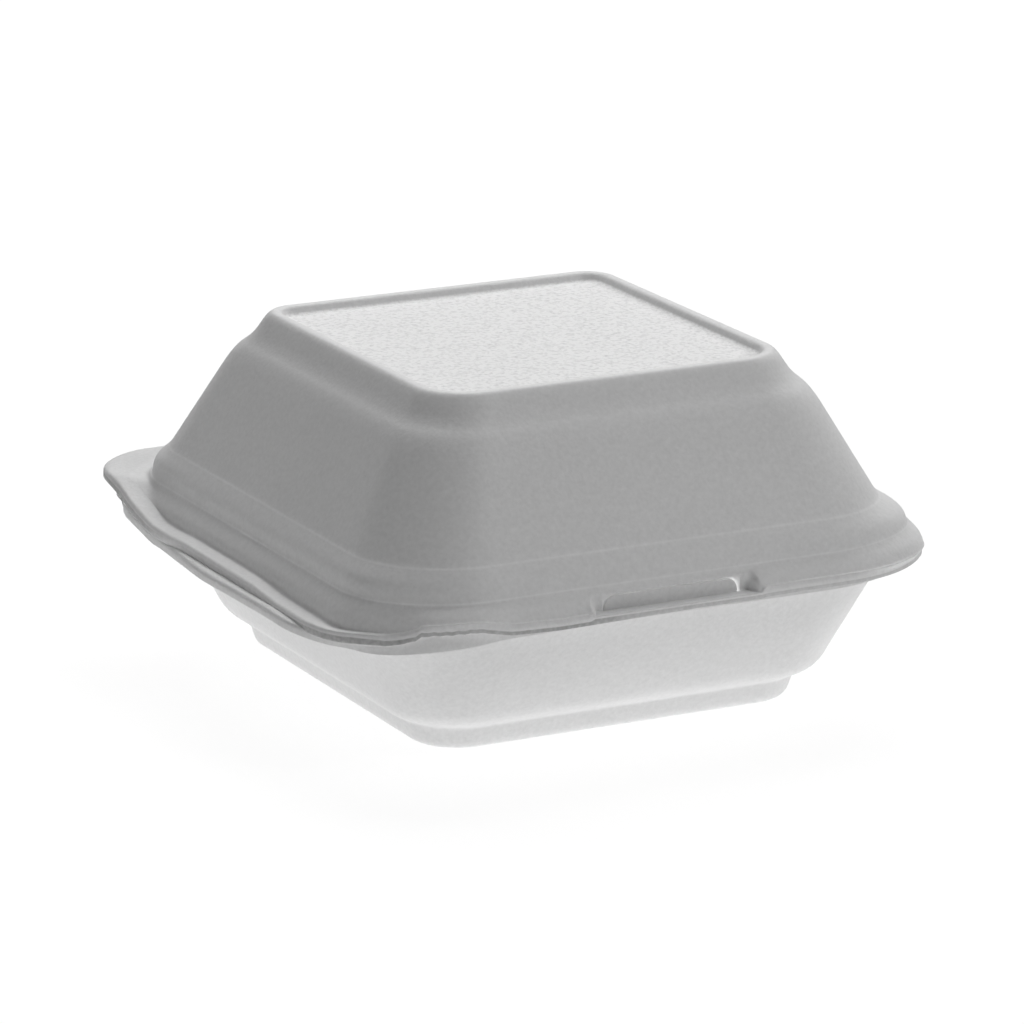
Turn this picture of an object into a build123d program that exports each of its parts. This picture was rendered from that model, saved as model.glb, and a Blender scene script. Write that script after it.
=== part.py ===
from build123d import *

import cmath
import math
import os
from collections import namedtuple

# Hinged foam clamshell for a burger, shut: a tray and a lid pressed from one sheet of foam.
# X runs along the latch side, the latch is at -Y, the hinge at +Y, and the tray stands on Z = 0.
# Lengths are in millimetres.

# The foam sheet and the fits between its two halves
foam = 2.3
seat_gap = 0.3
slot_gap = 0.3

# Cut outline of the lid's flange, seen from above, and how far the tray's stays inside it
outline_width = 149.0
outline_depth = 151.5
front_corner = 33.0
hinge_corner = 20.0
tray_inset = 0.7
tray_front_inset = 6.5

# The pressed body stands off the middle of the outline, is deeper than wide by the outline's own
# difference and a little more, and has tighter corners on the hinge side
body_shift = -2.75
body_deepening = 0.55
hinge_tightening = 4.5

# The seat line between the flanges, seen from the side: level along the sides, stepped up at the
# front and ramped up at the hinge. The steps' ends are measured from the front and hinge edges.
seat_height = 32.0
front_rise = 1.2
hinge_rise = 5.4
front_step_start = 11.0
front_step_end = 23.0
hinge_ramp_start = 41.5
hinge_ramp_end = 22.5

# Fold at the hinge: both flanges are crushed to a thin land along the hinge edge
hinge_land = 0.7

# A rounded bend of a pressed wall is made of chords about this long, and one that is rounded by
# less than half of that stays a plain bend
chord = 2.6

# One level of a pressed wall: half its width, height, corner radius seen from above on the latch
# side, and the rounding of the bend there
Level = namedtuple("Level", "half height corner rounding")


def level_at(inset, height, corner, rounding):
    """The level whose walls stand in from the cut outline by the inset."""
    return Level(outline_width / 2 - inset, height, corner, rounding)


# Tray, outer face, from the base up
tray_base = level_at(28.8, 0.0, 11.0, 3.0)
foot_crease = level_at(26.9, 5.6, 13.0, 0.0)
wall_bend = level_at(22.6, 7.9, 14.5, 9.0)
tray_mouth = level_at(11.1, 32.0, 21.0, 0.0)

# Lid, outer face, from the seat up; these heights count from the seat
bead_2_foot = level_at(4.3, 2.3, 26.8, 0.0)
bead_2 = level_at(4.5, 4.5, 26.5, 2.4)
crease_2 = level_at(7.8, 7.4, 24.3, 0.0)
bead_1 = level_at(8.3, 11.2, 23.8, 5.0)
crease_1 = level_at(11.4, 14.2, 22.0, 0.0)
shoulder = level_at(24.0, 37.7, 15.8, 9.0)
step_crease = level_at(27.6, 40.7, 14.0, 0.0)
ridge_outer = level_at(31.1, 46.4, 11.7, 3.5)
ridge_crest = level_at(33.0, 46.4, 9.8, 0.0)
ridge_inner = level_at(33.6, 46.4, 9.2, 0.5)
panel_edge = level_at(34.3, 44.7, 8.5, 0.0)

# Latch: a pocket pressed into the lid's front skirt, a slot through its floor and the tray's
# tongue in the slot, over the lip that is left below
pocket_half = 20.6
pocket_slope = 3.6
pocket_depth = 3.6
pocket_height = 5.0
lip_thickness = 1.3
slot_half = 16.6
slot_height = 3.2
tongue_depth = 4.9
tongue_rounding = 2.4
tongue_softening = 0.6

# Working values
reach = outline_width + outline_depth
front_edge = -outline_depth / 2
hinge_edge = outline_depth / 2
body_extra = (outline_depth - outline_width) / 2 + body_deepening
front_seat = seat_height + front_rise
hinge_seat = seat_height + hinge_rise
pocket_floor = front_edge + pocket_depth
lip_top = front_seat + lip_thickness
slot_top = lip_top + slot_height


def extended(lower, upper, height):
    """The level that a wall reaches when it is carried on in line to another height."""
    share = (height - lower.height) / (upper.height - lower.height)
    half = lower.half + (upper.half - lower.half) * share
    corner = lower.corner + (upper.corner - lower.corner) * share
    return Level(half, height, corner, 0.0)


def raised(levels, height):
    """The same levels, all moved up."""
    return [level._replace(height=level.height + height) for level in levels]


def point(level):
    """A level as a point of the half section, its half width across and its height up."""
    return complex(level.half, level.height)


def run(start, end):
    """Unit step from one point of the half section to the next."""
    return (end - start) / abs(end - start)


def inner_face(levels, thickness):
    """Levels of the inner face, the outer half section moved inwards by the sheet's thickness.

    The inside lies to the left of the section's run. The first and last levels only give the
    runs there their direction, and are left out of the result.
    """
    inner = []
    for before, level, after in zip(levels, levels[1:], levels[2:]):
        left_1 = run(point(before), point(level)) * 1j
        left_2 = run(point(level), point(after)) * 1j
        facing = (left_1 * left_2.conjugate()).real
        turn = cmath.phase(left_2 / left_1)
        moved = point(level) + thickness * (left_1 + left_2) / (1 + facing)
        corner = max(level.corner - level.half + moved.real, 1.0)
        rounding = max(level.rounding - thickness, 0.0) if turn > 0 else level.rounding
        inner.append(Level(moved.real, moved.imag, corner, rounding))
    return inner


def eased(levels):
    """The levels with each rounded bend replaced by points along its arc."""
    result = [levels[0]]
    for before, level, after in zip(levels, levels[1:], levels[2:]):
        if level.rounding < chord / 2:
            result.append(level)
            continue
        run_1 = run(point(before), point(level))
        run_2 = run(point(level), point(after))
        turn = cmath.phase(run_2 / run_1)
        span_1 = abs(point(level) - point(before))
        span_2 = abs(point(after) - point(level))
        share_1 = 0.48 if before.rounding >= chord / 2 else 0.96
        share_2 = 0.48 if after.rounding >= chord / 2 else 0.96
        length = level.rounding * math.tan(abs(turn) / 2)
        length = min(length, share_1 * span_1, share_2 * span_2)
        radius = length / math.tan(abs(turn) / 2)
        first = point(level) - run_1 * length
        centre = first + run_1 * 1j * math.copysign(radius, turn)
        corner_1 = level.corner + (before.corner - level.corner) * length / span_1
        corner_2 = level.corner + (after.corner - level.corner) * length / span_2
        steps = max(1, round(radius * abs(turn) / chord))
        for index in range(steps + 1):
            share = index / steps
            spot = centre + (first - centre) * cmath.rect(1, turn * share)
            corner = corner_1 + (corner_2 - corner_1) * share
            result.append(Level(spot.real, spot.imag, corner, 0.0))
    result.append(levels[-1])
    return result


def ring(level):
    """Rounded rectangle of one level, at its height, with tighter corners at the hinge."""
    hinge_side = max(level.corner - hinge_tightening, 0.3 * level.corner)
    face = Rectangle(2 * level.half, 2 * (level.half + body_extra))
    face = fillet(face.vertices().group_by(Axis.Y)[0], level.corner)
    face = fillet(face.vertices().group_by(Axis.Y)[-1], hinge_side)
    return Pos(0, body_shift, level.height) * face


def stack(levels):
    """Solid whose walls run straight from each level to the next."""
    return loft([ring(level) for level in eased(levels)], ruled=True)


def sheet(low, high):
    """Slab that follows the seat line between two heights from it, wider than the outline."""
    steps = [
        (-reach, front_rise),
        (front_edge + front_step_start, front_rise),
        (front_edge + front_step_end, 0.0),
        (hinge_edge - hinge_ramp_start, 0.0),
        (hinge_edge - hinge_ramp_end, hinge_rise),
        (reach, hinge_rise),
    ]
    under = [(y, seat_height + rise + low) for y, rise in steps]
    over = [(y, seat_height + rise + high) for y, rise in reversed(steps)]
    section = make_face(Polyline(*under, *over, close=True))
    return extrude(Plane.YZ * section, amount=reach, both=True)


def outline(inset, front_inset):
    """Tall column over the cut outline, set in at the sides and at the front."""
    half = outline_width / 2 - inset
    front = front_edge + front_inset
    face = Pos(0, (hinge_edge + front) / 2) * Rectangle(2 * half, hinge_edge - front)
    face = fillet(face.vertices().group_by(Axis.Y)[0], front_corner)
    face = fillet(face.vertices().group_by(Axis.Y)[-1], hinge_corner - inset)
    return extrude(face, amount=reach)


def hinge_bevel(land, surface):
    """Wedge that takes a flange's outer back edge off, from the surface down to the land."""
    width = abs(surface - land)
    beyond = hinge_edge + width
    corners = [(hinge_edge, land), (hinge_edge - width, surface), (beyond, surface), (beyond, land)]
    section = make_face(Polyline(*corners, close=True))
    return extrude(Plane.YZ * section, amount=reach, both=True)


def front_face(y):
    """Upright plane facing the latch side, to draw on as seen from the front."""
    return Plane.XZ.offset(-y)


def lid_levels():
    """Outer face of the lid from below the seat to the ridge, standing over the tray."""
    below = bead_2_foot._replace(height=-2 * foam)
    levels = [below, bead_2_foot, bead_2, crease_2, bead_1, crease_1]
    levels += [shoulder, step_crease, ridge_outer]
    return raised(levels, seat_height)


def lid_cavity_levels():
    """Inner face of the lid: its wall moved in by the foam, roofed under the panel."""
    levels = lid_levels()
    panel = seat_height + panel_edge.height
    roof_edge = extended(levels[-2], levels[-1], panel)
    middle = Level(panel_edge.half / 2, panel, panel_edge.corner, 0.0)
    lowest = levels[0]._replace(height=levels[0].height - foam)
    return inner_face([lowest] + levels[:-1] + [roof_edge, middle], foam)


def sunk_panel():
    """The space over the panel, inside the ridge."""
    over = ridge_crest._replace(height=ridge_crest.height + foam)
    return stack(raised([panel_edge, ridge_inner, ridge_crest, over], seat_height))


def latch_backing(roof):
    """Foam behind the latch pocket, as deep behind its floor as the sheet is thick."""
    half = pocket_half - pocket_slope + foam
    face = Pos(0, (front_seat + roof) / 2) * Rectangle(2 * half, roof - front_seat)
    return extrude(front_face(pocket_floor - foam / 2) * face, amount=-1.5 * foam)


def latch_pocket():
    """The pocket's hollow, narrower at its floor than at its mouth."""
    floor_half = pocket_half - pocket_slope
    middle = lip_top + pocket_height / 2
    floor = Pos(0, middle) * Rectangle(2 * floor_half, pocket_height)
    mouth = Pos(0, middle) * Rectangle(2 * pocket_half + 2 * pocket_slope, pocket_height)
    mouth_y = pocket_floor - 2 * pocket_depth
    return loft([front_face(mouth_y) * mouth, front_face(pocket_floor) * floor], ruled=True)


def latch_slot():
    """The slot, from the lip's inner edge back through the pocket's floor."""
    face = Pos(0, (front_seat + slot_top) / 2) * Rectangle(2 * slot_half, slot_top - front_seat)
    return extrude(front_face(pocket_floor - slot_gap) * face, amount=-2 * foam)


def make_lid():
    """The lid: beaded wall, ridge round a sunk panel, stepped flange and latch pocket."""
    body = stack(lid_levels() + raised([ridge_crest], seat_height)) & sheet(0, reach)
    flange = sheet(0, foam) & outline(0, 0)
    inner = lid_cavity_levels()
    bead_roof = max(level.height for level in inner if level.half > crease_2.half - foam)
    lid = body + flange - stack(inner) - sunk_panel()
    lid = lid + latch_backing(bead_roof) - latch_pocket() - latch_slot()
    return lid - hinge_bevel(hinge_seat + hinge_land, hinge_seat + foam)


def tray_levels():
    """Outer face of the tray from the base to above the flange."""
    top = extended(wall_bend, tray_mouth, hinge_seat + foam)
    return [tray_base, foot_crease, wall_bend, top]


def tray_cavity():
    """Hollow of the tray, open above the flange."""
    levels = tray_levels()
    floor = tray_base._replace(half=tray_base.half / 2)
    above = extended(wall_bend, tray_mouth, levels[-1].height + foam)
    return stack(inner_face([floor] + levels + [above], foam))


def tray_body():
    """The tray's dished body as a solid block, its bottom edge rounded."""
    levels = tray_levels()
    within = 0.9 * tray_base.rounding
    half, corner = tray_base.half - within, tray_base.corner - within
    floor = tray_base._replace(half=half, corner=corner)
    return stack([floor] + levels)


def tongue():
    """The latch tongue: a tab with rounded ears, held over the lip by a web on the flange."""
    half = slot_half - slot_gap
    low = lip_top + slot_gap
    high = slot_top - slot_gap
    flange_top = front_seat - seat_gap
    face = Pos(0, (low + high) / 2) * Rectangle(2 * half, high - low)
    face = fillet(face.vertices().group_by(Axis.Y)[-1], tongue_rounding)
    tab = extrude(front_face(pocket_floor) * face, amount=-tongue_depth)
    tab = chamfer(tab.faces().sort_by(Axis.Y)[0].edges().sort_by(Axis.Z)[-1], tongue_softening)
    web_front = front_edge + tray_front_inset
    web_depth = pocket_floor + tongue_depth - web_front
    web_low = flange_top - foam / 2
    web_face = Pos(0, (web_low + low) / 2) * Rectangle(2 * half, low - web_low)
    web = extrude(front_face(web_front) * web_face, amount=-web_depth)
    return tab + web


def make_tray():
    """The tray: foot, dished wall, a flange that follows the lid's, and the latch tongue."""
    body = tray_body() & sheet(-reach, -seat_gap)
    flange = sheet(-seat_gap - foam, -seat_gap) & outline(tray_inset, tray_front_inset)
    tray = body + flange - tray_cavity() + tongue()
    surface = hinge_seat - seat_gap
    return tray - hinge_bevel(surface - hinge_land, surface - foam)


if __name__ == "__main__":
    os.makedirs("parts", exist_ok=True)
    export_step(make_tray(), "parts/tray.step")
    export_step(make_lid(), "parts/lid.step")
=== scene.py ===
import bpy
import numpy as np
from mathutils import Matrix


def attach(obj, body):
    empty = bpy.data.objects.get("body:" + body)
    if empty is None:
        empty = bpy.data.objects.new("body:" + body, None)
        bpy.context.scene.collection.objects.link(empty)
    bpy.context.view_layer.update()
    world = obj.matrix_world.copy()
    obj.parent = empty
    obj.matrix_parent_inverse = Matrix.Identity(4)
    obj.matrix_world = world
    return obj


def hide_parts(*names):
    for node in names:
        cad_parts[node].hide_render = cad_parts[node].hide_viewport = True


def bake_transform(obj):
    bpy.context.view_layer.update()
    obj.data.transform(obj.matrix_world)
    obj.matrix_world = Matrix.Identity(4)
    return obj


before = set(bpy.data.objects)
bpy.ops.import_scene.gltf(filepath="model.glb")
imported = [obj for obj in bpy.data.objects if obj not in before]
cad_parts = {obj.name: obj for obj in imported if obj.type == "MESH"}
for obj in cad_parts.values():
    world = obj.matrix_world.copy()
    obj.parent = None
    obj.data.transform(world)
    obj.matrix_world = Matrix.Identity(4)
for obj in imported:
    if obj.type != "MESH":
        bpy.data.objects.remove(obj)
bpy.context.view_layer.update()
scene = bpy.context.scene
scene.view_settings.view_transform = "Standard"

# Camera, fitted to the straight edges of the box in the photograph, in metres and pixels
azimuth, elevation, roll = np.radians([-27.25, 15.78, 0.19])
focal_px, frame_px, sensor_mm = 5751.0, 1024.0, 36.0
camera_distance = 1.292
aim_right, aim_up = -0.0021, 0.0292
body_middle = np.array([0.0, -0.00275, 0.0062])

# The foam shells, in millimetres until a mesh is made
foam = 2.3
seat_gap = 0.3
outline_width, outline_depth = 149.0, 151.5
front_edge, hinge_edge = -outline_depth / 2, outline_depth / 2
front_corner, hinge_corner = 33.0, 20.0
tray_inset, tray_front_inset = 0.7, 6.5
body_shift, body_extra, hinge_tightening = -2.75, 1.8, 4.5
seat, front_rise, hinge_rise = 32.0, 1.2, 5.4
front_step = front_edge + 11.0, front_edge + 23.0
ramp_low, ramp_high, tab_x = hinge_edge - 41.5, hinge_edge - 22.5, 70.5
hinge_land = 0.7
panel_top, crest_top = 76.7, 78.4

# The latch: a pocket pressed into the lid's front, with a slot over a thin lip
pocket_half, pocket_depth, lip_thickness = 20.6, 3.6, 1.3
pocket_end, pocket_bevel = pocket_half + 1.2, 2.8
slot_half, slot_height, slot_corner = 16.6, 3.2, 2.6
lip_bottom = seat + front_rise
lip_top = lip_bottom + lip_thickness
slot_top = lip_top + slot_height
lip_back = front_edge + pocket_depth - 0.3
end_fade_from, end_fade = 18.2, 1.6
backing_end, backing_fade = 22.1, 1.8
latch_columns_half = 22.6

# The lid's levels outside: half width, height, latch corner
lid_levels = [
    (39.7, panel_top, 8.0),
    (41.0, crest_top, 9.3),
    (43.4, crest_top, 11.7),
    (46.9, 72.7, 14.0),
    (50.5, 69.7, 15.8),
    (63.1, 46.2, 22.0),
    (66.2, 43.2, 23.8),
    (66.7, 39.4, 24.3),
    (70.0, 36.5, 26.5),
    (70.2, 34.3, 26.8),
]
(PANEL, CREST_IN, CREST_OUT, BEVEL_FOOT, SHOULDER, WALL_FOOT, BEAD, CREASE, SKIRT, SKIRT_FOOT,
 EDGE_TOP, EDGE_BOTTOM, MOUTH, INNER_SKIRT, INNER_CREASE) = range(15)
lid_softness = [
    0, 0.9, 2.2, 2.0, 4.5, 1.4, 2.0, 1.0, 1.6, 1.0,
    1.1, 0.25, 0.3, 0.6, 0.8, 1.5, 1.0, 3.0, 1.5, 1.0]

# How the pressing differs along the front (back, up) and at the right end (out, up)
front_shifts = {BEAD: (0.6, 0.0), CREASE: (-0.1, 0.3), SKIRT: (0.65, 0.6)}
right_shifts = {BEAD: (2.4, -0.4), CREASE: (2.8, 0.8), SKIRT: (2.2, 0.8), SKIRT_FOOT: (2.5, -0.2)}
skirt_foot_forward, front_edge_thinning = 0.65, 0.95

# The tray's levels outside, from the base up, and the wall's far end
tray_levels = [(45.7, 0.0, 11.0), (47.6, 5.6, 13.0), (51.9, 7.9, 14.5), (63.4, 32.0, 21.0)]
tray_softness = [0, 1.0, 3.0, 0.8, 1.1, 0.25, 0.5, 3.0, 0.7, 2.2, 0]

# Wear along the left and front edges, and how dark the lid's cut edge is painted (open cells and painted
# shade): place (x less y) and amount
lid_droops = [
    (-160, 0), (-125, -0.3), (-119, 0.6), (-98, 0.5), (-90, 0.1), (-55, 0.15), (-42, 1.1), (-24, 1.3),
    (-14, 1.65), (2, 1.6), (6, 1.0), (10.5, 0.1), (12, -0.8), (14, -0.95), (26, -1.35), (27.5, -1.45),
    (31, -0.9), (36, 0.1), (47, 0.5), (70, 0.2), (105, -0.3), (120, -0.3)]
lid_edge_cells_and_painted_shades = [
    (-112, 1.0), (-98, 0.25), (-45, 0.25), (-30, 1.1), (8, 1.1), (14, 0.9), (32, 0.9), (38, 1.15),
    (54, 1.15), (64, 0.7), (112, 0.55)]
tray_droops = [
    (-160, 1.0), (-130, 1.6), (-122, 1.3), (-112, 0.6), (-104, 0.1), (-90, -0.5), (-45, -0.5), (-32, -0.1),
    (-12, 0.5), (-4.5, 1.2), (4.6, 1.2), (16.6, 0.65), (20, 0.45), (30, 0.05), (60, 0)]
tray_curls = [(2, 0), (10, 1.7), (14, 2.3), (27, 2.3), (33, 1.0), (38, 0)]
tray_bows = [
    (-130, 0), (-112, 0.1), (-104, 0.3), (-88, 2.2), (-75, 3.2), (-50, 2.6), (-36, 2.3), (-12, 2.2),
    (-4.5, 3.5), (4.6, 4.2), (16.6, 4.3), (20, 4.0), (30, 1.3), (37, 1.0), (60, 0)]


def make_camera():
    """Camera on the sphere round the body's middle, looking back at it, nudged along its own axes."""
    flat, high = np.cos(elevation), np.sin(elevation)
    back = np.array([np.sin(azimuth) * flat, -np.cos(azimuth) * flat, high])
    right = np.array([np.cos(azimuth), np.sin(azimuth), 0.0])
    up = np.cross(back, right)
    right_r = np.cos(roll) * right + np.sin(roll) * up
    up_r = np.cos(roll) * up - np.sin(roll) * right
    place = body_middle + back * camera_distance + right_r * aim_right + up_r * aim_up
    data = bpy.data.cameras.new("camera")
    data.sensor_fit = "HORIZONTAL"
    data.sensor_width = sensor_mm
    data.lens = focal_px / frame_px * sensor_mm
    data.clip_start, data.clip_end = 0.05, 20.0
    camera = bpy.data.objects.new("camera", data)
    camera.matrix_world = placing(right_r, up_r, back, place)
    scene.collection.objects.link(camera)
    scene.camera = camera


def placing(side, up, back, place):
    """Matrix that puts an object's axes along three directions, at a place."""
    turn = np.eye(4)
    turn[:3, 0], turn[:3, 1], turn[:3, 2], turn[:3, 3] = side, up, back, place
    return Matrix(turn.tolist())


class Value:
    """A socket of a node tree, with arithmetic that adds the Math nodes it needs."""

    def __init__(self, shader, socket):
        self.shader = shader
        self.socket = socket

    def maths(self, operation, *numbers):
        return self.shader.node("ShaderNodeMath", {"operation": operation}, numbers)

    def __add__(self, other):
        return self.maths("ADD", self, other)

    def __mul__(self, other):
        return self.maths("MULTIPLY", self, other)

    def __sub__(self, other):
        return self.maths("SUBTRACT", self, other)

    def __rsub__(self, other):
        return self.maths("SUBTRACT", other, self)

    def __truediv__(self, other):
        return self.maths("DIVIDE", self, other)

    def __pow__(self, other):
        return self.maths("POWER", self, other)

    def clipped(self):
        return self.shader.node("ShaderNodeClamp", {}, [self, 0.0, 1.0])

    __radd__ = __add__
    __rmul__ = __mul__


class Shader:
    """A node tree, emptied and filled by one node-making method."""

    def __init__(self, tree):
        self.tree = tree
        self.tree.nodes.clear()

    def node(self, kind, settings=None, inputs=(), output=0):
        """Adds a node, sets its settings first, then its inputs, by place or by name."""
        made = self.tree.nodes.new(kind)
        for key, value in (settings or {}).items():
            setattr(made, key, value)
        pairs = inputs.items() if isinstance(inputs, dict) else enumerate(inputs)
        for key, value in pairs:
            if isinstance(value, Value):
                self.tree.links.new(value.socket, made.inputs[key])
            else:
                made.inputs[key].default_value = value
        return Value(self, made.outputs[output]) if made.outputs else None

    def grey(self, tone):
        """Colour with one tone in all three channels."""
        return self.node("ShaderNodeCombineColor", {}, [tone, tone, tone])


def new_material(name):
    """Empty material and the shader that fills it."""
    material = bpy.data.materials.new(name)
    material.use_nodes = True
    return material, Shader(material.node_tree)


def foam_material():
    """White foam: matt skin with fine grain, a speckled panel on the lid with painted light, open cells and
    painted shade on cut edges, painted glow where marked.

    The mesh attribute is about 1 on a cut edge, darkened there for open cells and by painted shade, and
    below 0 is a painted glow, for light through thin foam and highlights on creases. The panel is where
    the height and the place across and along, in metres, lie within its edges.
    """
    material, shader = new_material("foam")
    place = shader.node("ShaderNodeTexCoord", output="Object")
    across, along, height = [shader.node("ShaderNodeSeparateXYZ", {}, [place], axis) for axis in range(3)]

    def size_of(value):
        return (value ** 2 + 1e-9) ** 0.5

    low, high, half_width, half_depth = 0.0755, 0.0772, 0.0402, 0.042
    panel = ((height - low) * 1000.0).clipped() * ((high - height) * 2500.0).clipped()
    panel = panel * ((half_width - size_of(across)) * 2000.0).clipped()
    panel = panel * ((half_depth - size_of(along - 0.001 * body_shift)) * 2000.0).clipped()

    mark = shader.node("ShaderNodeAttribute", {"attribute_name": "cut_and_painted_light"}, output="Fac")
    # Above 0 the attribute darkens a cut edge, for open cells and painted shade; below 0 it is a painted
    # glow.
    cut_and_painted_light, painted_glow = (mark * 0.5).clipped() * 2.0, (mark * -1.0).clipped()
    fine = shader.node("ShaderNodeTexNoise", {}, {
        "Vector": place, "Scale": 1000.0, "Detail": 3.0, "Roughness": 0.6})
    broad = shader.node("ShaderNodeTexNoise", {}, {"Vector": place, "Scale": 60.0, "Detail": 3.0})
    cells = shader.node("ShaderNodeTexVoronoi", {"feature": "F1"}, {"Vector": place, "Scale": 1100.0})
    grain = (fine - 0.5) * (0.19 + 0.66 * panel) + (broad - 0.5) * 0.015
    # The panel is painted 0.08 lighter: painted light on the top face.
    tone = 0.885 + 0.08 * panel + grain - cut_and_painted_light * (0.28 + 0.14 * cells)
    relief = fine * (0.5 + panel) + cells * (0.5 + 1.5 * cut_and_painted_light)
    bump = shader.node("ShaderNodeBump", {}, {"Strength": 0.25, "Distance": 0.0002, "Height": relief})
    surface = shader.node("ShaderNodeBsdfPrincipled", {}, {
        "Base Color": shader.grey(tone), "Roughness": 0.55, "Normal": bump,
        "Emission Color": shader.grey(painted_glow), "Emission Strength": 1.0})
    shader.node("ShaderNodeOutputMaterial", {}, {"Surface": surface})
    return material


def level(half, height, corner):
    """Rounded rectangle: half width, front y, hinge y, latch corner, hinge corner, height, rise."""
    tight = max(corner - hinge_tightening, 0.3 * corner)
    front, hinge = body_shift - half - body_extra, body_shift + half + body_extra
    return np.array([half, front, hinge, corner, tight, height, 0.0])


def cut_level(inset, front_inset, height):
    """The cut outline, set in at the sides and at the front, as a level."""
    half, front = outline_width / 2 - inset, front_edge + front_inset
    return np.array([half, front, hinge_edge, front_corner, hinge_corner - inset, height, 0.0])


def inner_levels(levels):
    """Levels moved inwards by the foam's thickness, along the half section's mitred left normals."""
    points = np.array([complex(one[0], one[5]) for one in levels])
    runs = np.diff(points) / np.abs(np.diff(points))
    left_1, left_2 = runs[:-1] * 1j, runs[1:] * 1j
    moved = points[1:-1] + foam * (left_1 + left_2) / (1 + (left_1 * left_2.conjugate()).real)
    corners = [max(one[3] - one[0] + spot.real, 1.0) for one, spot in zip(levels[1:-1], moved)]
    return [level(spot.real, spot.imag, corner) for spot, corner in zip(moved, corners)]


def between(lower, upper, height):
    """The level on the line through two levels at another height, which may vary by column."""
    share = (np.asarray(height)[..., None] - lower[5]) / (upper[5] - lower[5])
    return lower + (upper - lower) * share


def weights(count, half=0.0, front=0.0, hinge=0.0, latch_corner=0.0, back_corner=0.0, one=0.0):
    """Weights of some columns on a level's first five numbers and on 1."""
    parts = (half, front, hinge, latch_corner, back_corner, one)
    return np.stack([np.broadcast_to(part, count) for part in parts], -1)


def corner_weights(angle, sign_x, sign_y):
    """Weights round a corner: its centre plus its radius times the angle's cosine and sine."""
    across, along = sign_x * (np.abs(np.cos(angle)) - 1), sign_y * (np.abs(np.sin(angle)) - 1)
    count = len(angle)
    if sign_y < 0:
        return (weights(count, half=sign_x, latch_corner=across),
                weights(count, front=1.0, latch_corner=along))
    return (weights(count, half=sign_x, back_corner=across),
            weights(count, hinge=1.0, back_corner=along))


def make_columns():
    """Each column's x and y as weights, and the places of the columns at the latch.

    The columns run anticlockwise seen from above, from the left of the latch. Along a straight side
    the place is a share of its length, and in a corner the angle is even.
    """
    right_half = np.concatenate([
        np.arange(0, 16.1, 1.0), [16.35, 16.6, 16.8, 17.0, 17.5], np.arange(18.0, 20.1, 0.5),
        [20.3, 20.6, 20.9, 21.2, 21.6, 22.1, latch_columns_half]])
    near = np.concatenate([-right_half[:0:-1], right_half])
    a = np.linspace(0, 1, 14)[1:-1]
    b = np.linspace(0, 1, 38)[1:-1]
    quarter = np.radians(np.linspace(0, 90, 41))
    na, nb, edge = len(a), len(b), latch_columns_half
    parts = [
        (weights(len(near), one=near), weights(len(near), front=1.0)),
        (weights(na, half=a, latch_corner=-a, one=edge * (1 - a)), weights(na, front=1.0)),
        corner_weights(quarter - np.pi / 2, 1.0, -1.0),
        (weights(nb, half=1.0), weights(nb, front=1 - b, hinge=b, latch_corner=1 - b, back_corner=-b)),
        corner_weights(quarter, 1.0, 1.0),
        (weights(nb, half=1 - 2 * b, back_corner=2 * b - 1), weights(nb, hinge=1.0)),
        corner_weights(quarter + np.pi / 2, -1.0, 1.0),
        (weights(nb, half=-1.0), weights(nb, front=b, hinge=1 - b, latch_corner=b, back_corner=b - 1)),
        corner_weights(quarter + np.pi, -1.0, -1.0),
        (weights(na, half=a - 1, latch_corner=1 - a, one=-edge * a), weights(na, front=1.0)),
    ]
    return np.concatenate([np.stack(pair, 1) for pair in parts]), near


columns, near_x = make_columns()
near_count = len(near_x)
in_slot = np.abs(near_x) < slot_half + 0.05
x_weights, y_weights = columns[:, 0], columns[:, 1]
on_front = y_weights[:, 1] > 0.999
front_share = np.clip((y_weights[:, 1] - y_weights[:, 3]) * 2.6 - 1.4, 0, 1) * on_front


def spots(levels):
    """Points of a grid of levels: x and y from the columns' weights, z the level's height."""
    numbers = np.concatenate([levels[..., :5], np.ones_like(levels[..., :1])], -1)
    flat = np.einsum("rcl,ckl->rck", np.broadcast_to(numbers, (len(levels), len(columns), 6)), columns)
    height = np.broadcast_to(levels[..., 5], flat.shape[:2])
    return np.concatenate([flat, height[..., None]], -1)


def soft_path(nodes, softness, pitch):
    """Rings along a run of levels whose bends are parabolas that start and end a softness away.

    Returns the rings and the number of the ring at each level.
    """
    nodes = [np.broadcast_to(one, (len(columns), 7)) for one in nodes]

    def span(start, end):
        return np.median(np.hypot(*(end - start)[:, [0, 5]].T))

    rings, marks = [nodes[0]], [0]
    for index in range(1, len(nodes)):
        before, here = nodes[index - 1], nodes[index]
        last = index == len(nodes) - 1
        soft = 0.0 if last else min(softness[index], 0.49 * span(before, here))
        start, lately = here + (before - here) * soft / span(before, here), rings[-1]
        count = max(1, int(np.ceil(span(lately, start) / pitch)))
        rings += [lately + (start - lately) * share for share in np.linspace(0, 1, count + 1)[1:]]
        if soft == 0.0:
            marks.append(len(rings) - 1)
            continue
        after = nodes[index + 1]
        length = span(here, after)
        end = here + (after - here) * min(softness[index], 0.49 * length) / length
        for s in np.linspace(0, 1, 7)[1:]:
            rings.append(start * (1 - s) ** 2 + here * 2 * s * (1 - s) + end * s ** 2)
        marks.append(len(rings) - 4)
    return np.array(rings), marks


def eased_step(share):
    """Smooth step from 0 to 1 as the share goes from 0 to 1."""
    share = np.clip(share, 0, 1)
    return share * share * (3 - 2 * share)


def over(value, least, blur):
    """The greater of two, eased where they meet."""
    return (value + least + np.sqrt((value - least) ** 2 + blur ** 2)) / 2


def along_edge(x, y, table, blur):
    """Amounts from a table along the left and front edges, by x less y, eased by a blur."""
    places, amounts = zip(*table)
    steps = np.linspace(-1, 1, 7) * blur
    amount = sum(np.interp(x - y + step, places, amounts) for step in steps) / len(steps)
    left = eased_step((-18 - x) / 10) * eased_step((72 - y) / 10)
    front = eased_step((-50 - y) / 8)
    return amount * np.maximum(left, front)


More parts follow.
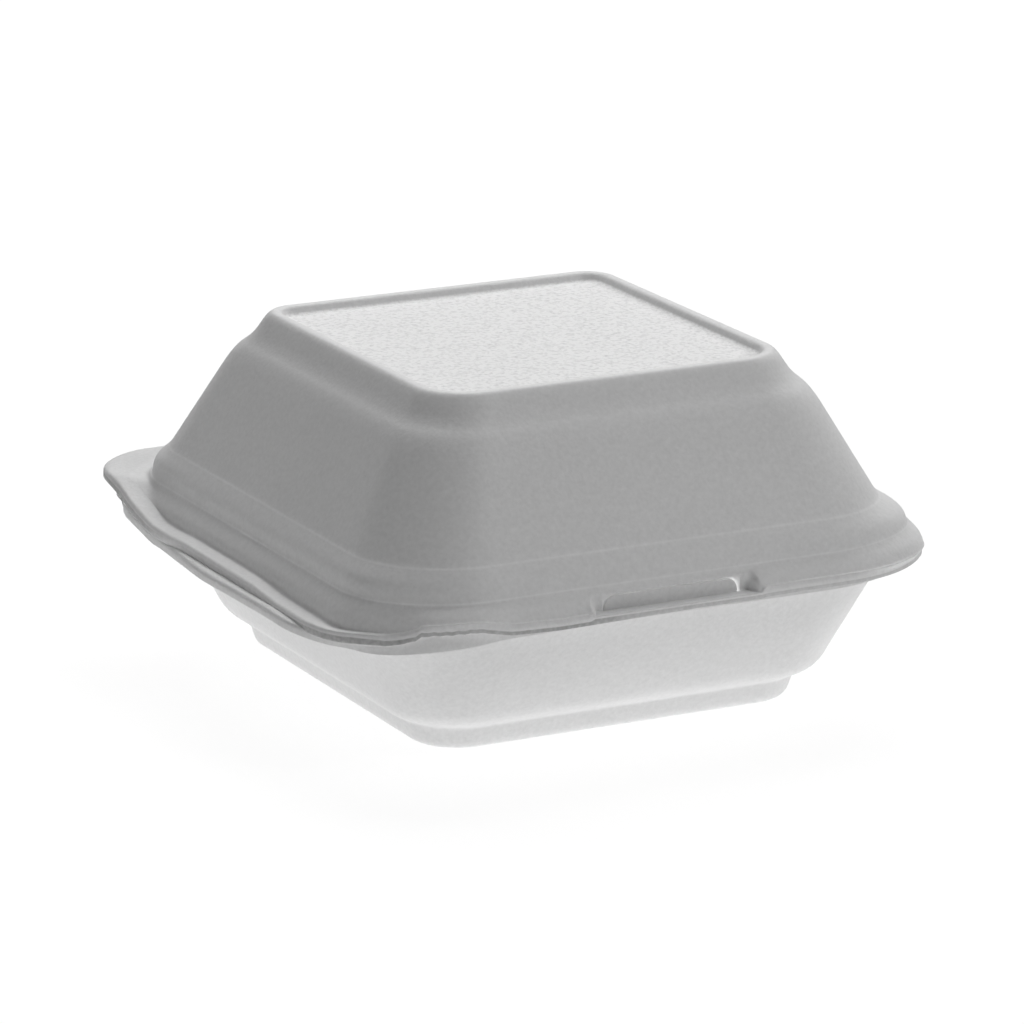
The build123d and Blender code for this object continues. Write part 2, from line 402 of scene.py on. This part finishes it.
def lid_droop(x, y):
    """How far the lid's cut edge hangs: pulled down round the front left corner, torn up past it."""
    ragged = 0.10 * np.sin(1.9 * (x - y)) * eased_step((x - y) / 4) * eased_step((34 - x + y) / 6)
    return along_edge(x, y, lid_droops, 0.6) + ragged * (x < -18)


def edge_cells_and_painted_shade(x, y):
    """How dark the lid's cut edge is, from open cells and painted shade where the tray's rim keeps light off
    it: lightest along the left side.
    """
    places, shades = zip(*lid_edge_cells_and_painted_shades)
    return np.interp(x - y, places, shades)


def tray_push(x, y):
    """How far the tray's rim stands out of its place: bowed out at the left, in at the hinge corners."""
    drawn_in = 2.8 * eased_step((y - 49) / 9) * eased_step((np.abs(x) - 56) / 12)
    return along_edge(x, y, tray_bows, 3.0) - drawn_in


def rise(x, y):
    """How far the seat line stands above its level run: a step up at the front, a ramp at the hinge."""
    blur = 1.5
    start, end = front_step
    step = (over(end - y, 0, blur) - over(start - y, 0, blur)) / (end - start) * front_rise
    low, high = ramp_low, ramp_high + np.clip(1.1 * (np.abs(x) - tab_x), -4.5, 4.5)
    ramp = (over(y - low, 0, blur) - over(y - high, 0, blur)) / (high - low) * hinge_rise
    return step + ramp


def flange_thinning(y):
    """How much thinner than the sheet it is, crushed to a land along the hinge by a 45 degree bevel."""
    return foam - np.clip(hinge_land + hinge_edge - y, hinge_land, foam)


def lifted(height, base, lift):
    """A wall's height carried up by the seat's rise near the flange, and left alone well above it."""
    above = np.maximum(height - base, 0)
    blur = 0.5
    eased = lift + over(above - lift, 0, blur) - over(-lift, 0, blur) * np.exp(-above)
    return np.where(height > base, base + eased, height + lift)


def shell_mesh(name, points, cut_and_painted_light, holes=None, bridges=(), polygons=()):
    """Mesh of a closed grid: quads round and along, a cap at each end, less the holes, plus bridges."""
    rows, count = points.shape[:2]
    number = np.arange(rows * count).reshape(rows, count)
    following = np.roll(number, -1, axis=1)
    quads = np.stack([number[:-1], number[1:], following[1:], following[:-1]], -1)
    kept = quads.reshape(-1, 4) if holes is None else quads[~holes]
    faces = np.concatenate([kept, *bridges]).tolist()
    faces += [number[0].tolist(), number[-1][::-1].tolist(), *polygons]
    mesh = bpy.data.meshes.new(name)
    mesh.from_pydata((points.reshape(-1, 3) * 0.001).tolist(), [], faces)
    mesh.update()
    mesh.polygons.foreach_set("use_smooth", np.ones(len(mesh.polygons), bool))
    layer = mesh.attributes.new("cut_and_painted_light", "FLOAT", "POINT")
    layer.data.foreach_set("value", cut_and_painted_light.reshape(-1).astype(np.float32))
    piece = bpy.data.objects.new(name, mesh)
    scene.collection.objects.link(piece)
    return piece


def towards_middle(ring, height, count):
    """Rings that shrink a ring evenly to the middle, at a height."""
    share = np.linspace(1, 0.02, count + 1)[1:, None, None]
    middle = np.array([0.0, body_shift, height])
    return middle + (ring - middle) * share


def lid_nodes():
    """The lid's levels from the panel out and down, round the cut edge, then back up inside."""
    outside = [level(*one) for one in lid_levels]
    roof = between(outside[BEVEL_FOOT], outside[CREST_OUT], panel_top)
    wall = [level(39.0, panel_top, 8.0), roof] + outside[BEVEL_FOOT:] + [level(70.3, 30.0, 26.9)]
    inside = inner_levels(wall[::-1])
    inside[0] = between(inside[0], inside[1], seat)

    outside[SKIRT_FOOT] = outside[SKIRT_FOOT] - [0, skirt_foot_forward, 0, 0, 0, 0, 0]
    for index, (back, up) in front_shifts.items():
        outside[index] = outside[index] + front_share[:, None] * [0, back, 0, 0, 0, up, 0]
    place = spots(level(66.0, 40.0, 24.0)[None, None])[0]
    right_share = eased_step((place[:, 0] - 38) / 26) * eased_step((35 - place[:, 1]) / 35)
    for index, (out, up) in right_shifts.items():
        outside[index] = outside[index] + right_share[:, None] * [out, 0, 0, 0, 0, up, 0]

    edge_top = np.repeat(cut_level(0, 0, seat + foam)[None], len(columns), 0)
    edge_top[:, 5] -= front_edge_thinning * front_share
    return outside + [edge_top, cut_level(0, 0, seat)] + inside


def lid_points(rings, marks):
    """Points of the lid's rings, lifted with the seat, thinned at the hinge and hung at the cut edge."""
    points = spots(rings)
    x, y, level_z = points[..., 0], points[..., 1], points[..., 2].copy()
    lift = rise(x, y)
    row = np.arange(len(points))[:, None]
    inner = row > marks[EDGE_BOTTOM]
    z = np.where(inner, lifted(level_z, seat, lift), level_z + lift)
    z = np.where(row <= marks[EDGE_TOP], lifted(level_z, seat + foam, lift), z)
    share = np.clip((level_z - seat) / foam, 0, 1)
    z = z - flange_thinning(y) * share * (row > marks[SKIRT]) * ~inner
    hanging = eased_step((seat + foam + lift + 4.5 - z) / 5.0)
    points[..., 2] = z - np.where(row > marks[SKIRT] - 6, hanging * lid_droop(x, y), 0)
    return points


def press_pocket(points, marks):
    """Presses the latch pocket into the lid's skirt below the crease, with the thin lip at its foot.

    The pocket's floor stands upright, a depth behind the edge that eases in over a bevel at each end.
    """
    crease, foot, top, bottom = [marks[index] for index in (CREASE, SKIRT_FOOT, EDGE_TOP, EDGE_BOTTOM)]
    away = np.abs(near_x)
    into = pocket_depth * eased_step((pocket_end - away) / pocket_bevel)
    part = points[crease:bottom + 1, :near_count]
    row = np.arange(crease, bottom + 1)[:, None]
    down = np.clip((row - crease) / (foot - crease), 0, 1)
    out = np.clip((row - foot) / (top - foot), 0, 1)
    fading = 1 - 0.9 * eased_step((down - 0.5) / 0.5) * eased_step((away - end_fade_from) / end_fade)
    floor_y = front_edge + into * fading
    back = np.where(in_slot & (row >= foot), lip_back, floor_y)
    start_z = part[0, :, 2]
    y = np.where(row < foot, np.maximum(part[..., 1], floor_y), back + (front_edge - back) * out)
    z = np.where(row < foot, start_z + (lip_top - start_z) * down, lip_top)
    z = np.where(row > top, lip_top + (lip_bottom - lip_top) * (row - top) / (bottom - top), z)
    part[..., 1] += (y - part[..., 1]) * eased_step(into / 0.5)
    part[..., 2] += (z - part[..., 2]) * eased_step(into / 2.4)


def back_pocket(points, marks):
    """Moves the lid's inner face behind the pocket, so that the foam keeps its thickness there."""
    mouth, crease = marks[MOUTH], marks[INNER_CREASE]
    part = points[mouth:crease + 1, :near_count]
    row = np.arange(mouth, crease + 1)[:, None]
    up = (row - mouth) / (crease - mouth)
    backing = eased_step((backing_end - np.abs(near_x)) / backing_fade) * (row > mouth)
    wall_y = front_edge + pocket_depth + foam
    part[..., 1] += (np.maximum(part[..., 1], wall_y) - part[..., 1]) * backing
    end_z = part[-1, :, 2]
    part[..., 2] += (lip_bottom + (end_z - lip_bottom) * up - part[..., 2]) * backing


def slot_roof(points, first, last):
    """The ring at the latch, between two rings, that is nearest to the slot's top."""
    return first + int(np.argmin(np.abs(points[first:last, near_count // 2, 2] - slot_top)))


def arch_slot(points, roof, rows):
    """Sets a ring on the slot's top, and draws rings down at its ends, to quarter circle corners."""
    past = np.clip(np.abs(near_x) - slot_half + slot_corner, 0, slot_corner)
    arch = (slot_height - slot_corner + np.sqrt(slot_corner ** 2 - past ** 2)) / slot_height
    arch = np.where(in_slot, np.maximum(arch, 0.1), 1.0)
    heights = points[:, :near_count, 2]
    heights[roof] = np.where(in_slot, slot_top, heights[roof])
    heights[rows] -= (heights[rows] - lip_top) * (1 - arch)


def lid_shell():
    """The lid: panel, ridge, wall, beads, flange and cut edge outside, then the same inside, by rings."""
    rings, marks = soft_path(lid_nodes(), lid_softness, 1.1)
    points = lid_points(rings, marks)
    press_pocket(points, marks)
    roof_out = slot_roof(points, marks[CREASE], marks[SKIRT_FOOT])
    arch_slot(points, roof_out, slice(roof_out, marks[SKIRT_FOOT] + 1))
    back_pocket(points, marks)
    roof_in = slot_roof(points, marks[MOUTH], marks[INNER_CREASE] + 1)
    arch_slot(points, roof_in, slice(marks[MOUTH] + 1, roof_in + 1))
    mouth_y = points[marks[MOUTH], :near_count, 1]
    mouth_y[in_slot] = lip_back

    start = towards_middle(points[0], panel_top, 12)[::-1]
    end = towards_middle(points[-1], points[-1, 0, 2], 10)
    points = np.concatenate([start, points, end])
    marks = [mark + len(start) for mark in marks]
    roof_out, roof_in = roof_out + len(start), roof_in + len(start)
    foot, mouth = marks[SKIRT_FOOT], marks[MOUTH]
    inside_slot = np.where(in_slot)[0]
    first, final = inside_slot[0], inside_slot[-1]

    crease_painted_highlight, slot_painted_glow, slot_end_painted_glow = 0.06, 0.08, 0.35
    # A painted glow round the slot's top, strongest at its right end, stands in for light through the foam.
    light = slot_painted_glow + (slot_end_painted_glow - slot_painted_glow) * eased_step((near_x - 12.5) / 3)
    cut_and_painted_light = np.zeros(points.shape[:2])
    # Painted highlights: a faint glow along the wall's foot and the crease.
    cut_and_painted_light[[marks[WALL_FOOT], marks[CREASE]]] = -crease_painted_highlight
    cut_and_painted_light[[roof_out, roof_in], :near_count] = -light * in_slot
    cut_and_painted_light[roof_out:foot + 1, final] = -slot_end_painted_glow
    cut_and_painted_light[mouth:roof_in + 1, final] = -slot_end_painted_glow
    # The lid's cut edge is painted dark: open cells and painted shade from the tray's rim below.
    edge = slice(marks[EDGE_TOP] + 3, marks[EDGE_BOTTOM] + 2)
    cut_and_painted_light[edge] = edge_cells_and_painted_shade(points[edge, :, 0], points[edge, :, 1])

    holes = np.zeros((len(points) - 1, points.shape[1]), bool)
    holes[roof_out:foot, first:final] = True
    holes[mouth:roof_in, first:final] = True
    number = np.arange(points.shape[0] * points.shape[1]).reshape(points.shape[:2])
    c, d = np.arange(first, final), np.arange(first + 1, final + 1)
    bridges = [
        np.stack([number[roof_out, c], number[roof_in, c], number[roof_in, d], number[roof_out, d]], -1),
        np.stack([number[mouth, c], number[foot, c], number[foot, d], number[mouth, d]], -1),
    ]
    rim = np.concatenate([number[roof_out:foot + 1], number[mouth:roof_in + 1]])
    polygons = [rim[:, first].tolist(), rim[::-1, final].tolist()]
    return shell_mesh("lid_shell", points, cut_and_painted_light, holes, bridges, polygons)


def meeting(wall, end, gap):
    """Where the tray's wall meets the flange, column by column, found by walking up the wall."""
    here = between(wall, end, np.full(len(columns), 31.0))
    for _ in range(4):
        place = spots(here[None])[0]
        lift = rise(place[:, 0], place[:, 1])
        here = between(wall, end, seat - gap + lift)
    here[:, 6] = lift
    return here


def tray_edge(gap):
    """The tray's cut outline, a gap below the lid's seat, with the seat's rise."""
    node = np.repeat(cut_level(tray_inset, tray_front_inset, seat - gap)[None], len(columns), 0)
    place = spots(node[None])[0]
    node[:, 6] = rise(place[:, 0], place[:, 1])
    node[:, 5] += node[:, 6]
    return node


def tray_nodes():
    """The tray's levels from the inner floor up, round the flange's cut edge, then down outside."""
    outside = [level(*one) for one in tray_levels]
    wall_foot, wall_end = outside[2:]
    far = between(wall_foot, wall_end, 50.0)
    inside = inner_levels([level(40.0, 0.0, 9.0), *outside[:3], far])
    inside_far = inner_levels([wall_foot, far, between(wall_foot, wall_end, 70.0)])[0]
    flange = [
        meeting(inside[2], inside_far, seat_gap), tray_edge(seat_gap),
        tray_edge(seat_gap + foam), meeting(wall_foot, far, seat_gap + foam)]
    return inside + flange + outside[2::-1] + [level(41.0, 0.0, 7.5)]


def tray_shell():
    """The tray: inner floor, wall, flange and cut edge, then wall, foot and base outside, by rings.

    The flange is carried up with the seat, bowed, curled and hung by the wear, and thinned at the hinge.
    """
    rings, marks = soft_path(tray_nodes(), tray_softness, 1.2)
    mouth, edge_top, edge_bottom, under = marks[3:7]
    points = spots(rings)
    x, y = points[..., 0], points[..., 1]
    row = np.arange(len(points))[:, None]
    flange = (row >= mouth) & (row <= under)
    points[..., 2] += np.where(flange, rise(x, y) - rings[..., 6], 0)
    outward = np.stack([
        x_weights[:, 0] + x_weights[:, 3] + x_weights[:, 4],
        y_weights[:, 2] - y_weights[:, 1] + y_weights[:, 3] + y_weights[:, 4]], -1)
    pushed = np.interp(row, [mouth, edge_top, edge_bottom, under], [0, 1, 1, 0]) * tray_push(x, y)
    points[..., :2] += pushed[..., None] * outward
    curled = np.interp(row, [edge_top - 4, edge_top, edge_bottom], [0, 1, 0])
    points[..., 2] += curled * along_edge(x, y, tray_curls, 1.0)
    points[..., 2] -= along_edge(x, y, tray_droops, 3.0) * eased_step((points[..., 2] - 18) / 11)
    share = np.clip((seat - seat_gap + rise(x, y) - points[..., 2]) / foam, 0, 1)
    points[..., 2] += np.where(flange, flange_thinning(y) * share, 0)

    start = towards_middle(points[0], points[0, 0, 2], 14)[::-1]
    end = towards_middle(points[-1], 0.0, 14)
    cut_and_painted_light = np.zeros((len(start) + len(points) + len(end), len(columns)))
    cut_and_painted_light[len(start) + edge_top + 2:len(start) + edge_bottom + 1] = 0.1
    return shell_mesh("tray_shell", np.concatenate([start, points, end]), cut_and_painted_light)


def slab(half, low, high, front, back, ears, soft):
    """Loops of a rounded tab seen from the front, set in along a quarter circle at both ends."""
    foot_radius = 0.5
    right = np.radians(np.linspace(0, 90, 9))
    lower = right - np.pi / 2
    turn = np.linspace(0, np.pi / 2, 7)
    inset = soft * (1 - np.sin(turn))
    inset = np.concatenate([inset, inset[::-1]])
    depth = soft * (1 - np.cos(turn))
    depth = np.concatenate([front + depth, back - depth[::-1]])
    x = np.concatenate([half - foot_radius + foot_radius * np.cos(lower), half - ears + ears * np.cos(right)])
    z = np.concatenate([low + foot_radius + foot_radius * np.sin(lower), high - ears + ears * np.sin(right)])
    side_x = np.concatenate([np.cos(lower), np.cos(right)])
    side_z = np.concatenate([np.sin(lower), np.sin(right)])
    x, side_x = np.concatenate([x, -x[::-1]]), np.concatenate([side_x, -side_x[::-1]])
    z, side_z = np.concatenate([z, z[::-1]]), np.concatenate([side_z, side_z[::-1]])
    loops_x = x - side_x * inset[:, None]
    loops_z = z - side_z * inset[:, None]
    return np.stack([loops_x, np.broadcast_to(depth[:, None], loops_x.shape), loops_z], -1)


def make_tongue():
    """The latch tongue: a tab with rounded ears over the lip, on a web that stands on the flange and has a
    painted glow.
    """
    high = slot_top - 0.06
    tab_front = front_edge + pocket_depth
    points = slab(slot_half - 0.35, lip_top - 0.6, high, tab_front, tab_front + 1.6, 2.95, 0.4)
    cut_and_painted_light = np.zeros(points.shape[:2])
    tab = shell_mesh("latch_tongue", points, cut_and_painted_light)
    low = lip_bottom - seat_gap - 0.6
    points = slab(slot_half + 0.5, low, high - 0.1, lip_back + 1.5, tab_front + 4.6, 0.6, 0.3)
    # The web's attribute of -0.2 gives it a painted glow behind the tongue.
    web = shell_mesh("latch_web", points, cut_and_painted_light - 0.2)
    return tab, web


def hinge_web():
    """The crushed fold: a thin strip bent half round the hinge line, seen from the side a half ring."""
    half, count = 53.5, 90
    x = np.linspace(half, -half, count)
    angle = np.radians(np.linspace(-90, 90, 15))
    axis_z = seat + hinge_rise - seat_gap / 2
    outer, inner = seat_gap / 2 + hinge_land, seat_gap / 2 + 0.12
    y = np.concatenate([outer * np.cos(angle), inner * np.cos(angle[::-1])]) + hinge_edge - 0.05
    z = np.concatenate([outer * np.sin(angle), inner * np.sin(angle[::-1])]) + axis_z
    loops = np.stack(np.broadcast_arrays(x[:, None], y, z), -1)
    return shell_mesh("hinge_web", loops, np.zeros(loops.shape[:2]))


def make_floor():
    """Wide pale floor, seen as plain white apart from the object's shadow.

    Near the object it glows a little, as a brightly lit white ground throws light up.
    """
    half, glow_radius, glow_fade = 3.0, 0.11, 0.04
    mesh = bpy.data.meshes.new("floor")
    corners = [(-half, -half, 0), (half, -half, 0), (half, half, 0), (-half, half, 0)]
    mesh.from_pydata(corners, [], [(0, 1, 2, 3)])
    floor = bpy.data.objects.new("floor", mesh)
    scene.collection.objects.link(floor)
    material, shader = new_material("floor")
    ray = shader.node("ShaderNodeLightPath")
    matt = shader.node("ShaderNodeBsdfDiffuse", {}, {"Color": (0.9, 0.9, 0.9, 1)})
    faint = shader.node("ShaderNodeBsdfDiffuse", {}, {"Color": (0.15, 0.15, 0.15, 1)})
    white = shader.node("ShaderNodeEmission", {}, {"Color": (1, 1, 1, 1), "Strength": 0.92})
    seen = shader.node("ShaderNodeAddShader", {}, [faint, white])
    place = shader.node("ShaderNodeTexCoord", output="Object")
    away = shader.node("ShaderNodeVectorMath", {"operation": "LENGTH"}, [place], 1)
    near = (1.0 - (away - glow_radius) / glow_fade).clipped()
    glow = shader.node("ShaderNodeEmission", {}, {"Color": (1, 1, 1, 1), "Strength": 0.48})
    glowing = shader.node("ShaderNodeAddShader", {}, [matt, glow])
    below = shader.node("ShaderNodeMixShader", {}, [near, matt, glowing])
    both = shader.node("ShaderNodeMixShader", {}, [ray, below, seen])
    shader.node("ShaderNodeOutputMaterial", {}, {"Surface": both})
    mesh.materials.append(material)


def make_world(strength):
    """World that is white to the camera, and a faint grey for lighting."""
    world = bpy.data.worlds.new("world")
    scene.world = world
    world.use_nodes = True
    shader = Shader(world.node_tree)
    ray = shader.node("ShaderNodeLightPath")
    seen = shader.node("ShaderNodeBackground", {}, {"Color": (1, 1, 1, 1)})
    lit = shader.node("ShaderNodeBackground", {}, {"Strength": strength})
    both = shader.node("ShaderNodeMixShader", {}, [ray, lit, seen])
    shader.node("ShaderNodeOutputWorld", {}, {"Surface": both})


def softbox(name, place, target, width, height, watts):
    """Rectangular soft lamp that faces a target."""
    data = bpy.data.lights.new(name, "AREA")
    data.shape = "RECTANGLE"
    data.size, data.size_y, data.energy = width, height, watts
    lamp = bpy.data.objects.new(name, data)
    place, target = np.array(place, float), np.array(target, float)
    back = (place - target) / np.linalg.norm(place - target)
    side = np.cross((0.0, 0.0, 1.0), back)
    side /= np.linalg.norm(side)
    lamp.matrix_world = placing(side, np.cross(back, side), back, place)
    scene.collection.objects.link(lamp)


make_camera()
make_floor()
make_world(0.02)
softbox("top_back", (0.45, 0.75, 1.1), (0, 0, 0.03), 1.2, 0.8, 14.4)
softbox("front_high", (0.8, -1.0, 1.15), (0, 0, 0.04), 0.7, 0.6, 7.4)
softbox("left_fill", (-1.25, 0.2, 0.7), (0, 0, 0.04), 0.9, 0.7, 1.85)

white_foam = foam_material()
lid = lid_shell()
tray = tray_shell()
tab, web = make_tongue()
fold = hinge_web()
for piece in (lid, tray, tab, web, fold):
    piece.data.materials.append(white_foam)
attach(lid, "lid")
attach(tray, "tray")
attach(tab, "tray")
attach(web, "tray")
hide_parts("lid")
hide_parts("tray")
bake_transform(fold)
